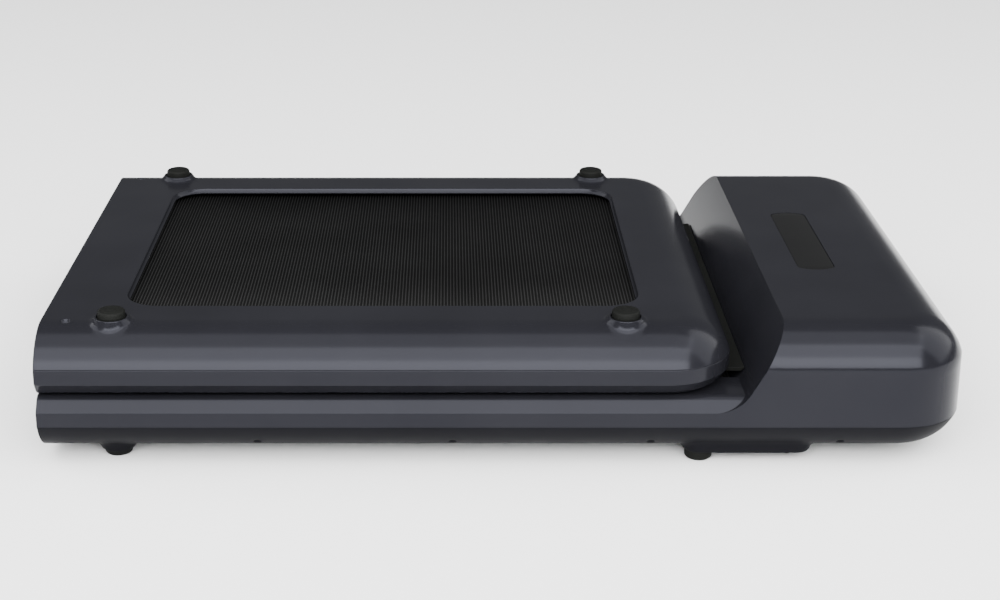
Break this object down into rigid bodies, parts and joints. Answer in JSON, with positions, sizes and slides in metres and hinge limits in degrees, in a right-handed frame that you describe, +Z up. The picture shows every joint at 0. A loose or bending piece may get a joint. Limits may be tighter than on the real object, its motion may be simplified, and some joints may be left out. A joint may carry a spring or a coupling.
{
  "type": "folding walking pad treadmill",
  "caption": "Low folding walking-pad treadmill, stored folded: rear half hinged upside down onto the front half, with a motor head at one end.",
  "frame": {"origin": "on the floor under the middle of the folded treadmill", "axes": "+X along the treadmill towards the motor head, +Y across it, +Z up"},
  "size_m": [0.831, 0.519, 0.138],
  "materials": {
    "painted_shell": "satin anthracite",
    "black_plastic": "fine texture, matt",
    "gloss_black": "smoked, glossy",
    "switch_plastic": "semi gloss",
    "walking_belt": "finely ribbed, matt",
    "rubber": "matt",
    "painted_steel": "powder coated",
    "bright_steel": "turned",
    "aluminium": "turned",
    "deck_wood": "fibreboard with a waxed dark face",
    "circuit_board": "solder mask"
  },
  "bodies": {
    "front": {"base_shell": "painted_shell", "head_cover": "painted_shell", "left_front_rail": "painted_shell", "right_front_rail": "painted_shell", "left_front_beam": "painted_steel", "right_front_beam": "painted_steel", "front_hinge_leaves": "painted_steel", "front_cross_members": "painted_steel", "front_deck": "deck_wood", "front_deck_cushions": "rubber", "front_belt": "walking_belt", "front_roller_bearings": "bright_steel", "front_axle": "bright_steel", "front_guide_axle": "bright_steel", "front_feet": "rubber", "belt_outer_fold": "walking_belt", "belt_inner_fold": "walking_belt", "hinge_pins": "bright_steel", "wheel_axles": "bright_steel", "drive_belt": "rubber", "motor_can": "painted_steel", "motor_bearings": "bright_steel", "motor_cradle": "black_plastic", "motor_controller": "aluminium", "display_window": "gloss_black", "display_board": "circuit_board", "power_inlet": "black_plastic", "switch_frame": "black_plastic", "base_screws": "bright_steel", "fold_bumpers": "rubber"},
    "rear": {"rear_cover": "painted_shell", "rear_end_cap": "painted_shell", "rear_lip": "rubber", "left_rear_rail": "painted_shell", "right_rear_rail": "painted_shell", "left_rear_beam": "painted_steel", "right_rear_beam": "painted_steel", "rear_hinge_leaves": "painted_steel", "rear_cross_members": "painted_steel", "rear_deck": "deck_wood", "rear_deck_cushions": "rubber", "rear_belt": "walking_belt", "rear_roller_bearings": "bright_steel", "rear_axle": "bright_steel", "rear_guide_axle": "bright_steel", "rear_feet": "rubber", "cover_screws": "bright_steel", "tension_bolts": "bright_steel"},
    "drive_roller": {"front_roller": "bright_steel", "roller_pulley": "aluminium"},
    "idle_roller": {"rear_roller": "bright_steel"},
    "front_guide": {"front_guide_roller": "aluminium"},
    "rear_guide": {"rear_guide_roller": "aluminium"},
    "rotor": {"motor_rotor": "bright_steel", "motor_pulley": "aluminium"},
    "left_wheel": {"left_transport_wheel": "rubber"},
    "right_wheel": {"right_transport_wheel": "rubber"},
    "switch": {"power_switch": "switch_plastic"}
  },
  "joints": [
    {"name": "fold_hinge", "type": "hinge", "parent": "front", "child": "rear", "pos_m": [-0.4105, 0, 0.069], "axis": [0, -1, 0], "range_deg": [0, 180], "deforming": ["belt_outer_fold", "belt_inner_fold"]},
    {"name": "drive_roller_spin", "type": "hinge", "parent": "front", "child": "drive_roller", "pos_m": [0.265, 0, 0.04025], "axis": [0, 1, 0], "continuous": true},
    {"name": "idle_roller_spin", "type": "hinge", "parent": "rear", "child": "idle_roller", "pos_m": [0.166, 0, 0.09775], "axis": [0, 1, 0], "continuous": true},
    {"name": "front_guide_spin", "type": "hinge", "parent": "front", "child": "front_guide", "pos_m": [-0.3975, 0, 0.0334], "axis": [0, 1, 0], "continuous": true},
    {"name": "rear_guide_spin", "type": "hinge", "parent": "rear", "child": "rear_guide", "pos_m": [-0.3975, 0, 0.1046], "axis": [0, 1, 0], "continuous": true},
    {"name": "motor_spin", "type": "hinge", "parent": "front", "child": "rotor", "pos_m": [0.345, 0.11, 0.067], "axis": [0, 1, 0], "continuous": true},
    {"name": "left_wheel_spin", "type": "hinge", "parent": "front", "child": "left_wheel", "pos_m": [0.258, 0.2295, 0.0145], "axis": [0, 1, 0], "continuous": true},
    {"name": "right_wheel_spin", "type": "hinge", "parent": "front", "child": "right_wheel", "pos_m": [0.258, -0.2295, 0.0145], "axis": [0, 1, 0], "continuous": true},
    {"name": "switch_rocker", "type": "hinge", "parent": "front", "child": "switch", "pos_m": [0.409, 0.078, 0.067], "axis": [0, -1, 0], "range_deg": [0, 12]}
  ],
  "couplings": [
    {"joint": "idle_roller_spin", "follows": "drive_roller_spin", "ratio": 1},
    {"joint": "front_guide_spin", "follows": "drive_roller_spin", "ratio": 1.515},
    {"joint": "rear_guide_spin", "follows": "drive_roller_spin", "ratio": 1.515},
    {"joint": "motor_spin", "follows": "drive_roller_spin", "ratio": 2.4}
  ]
}
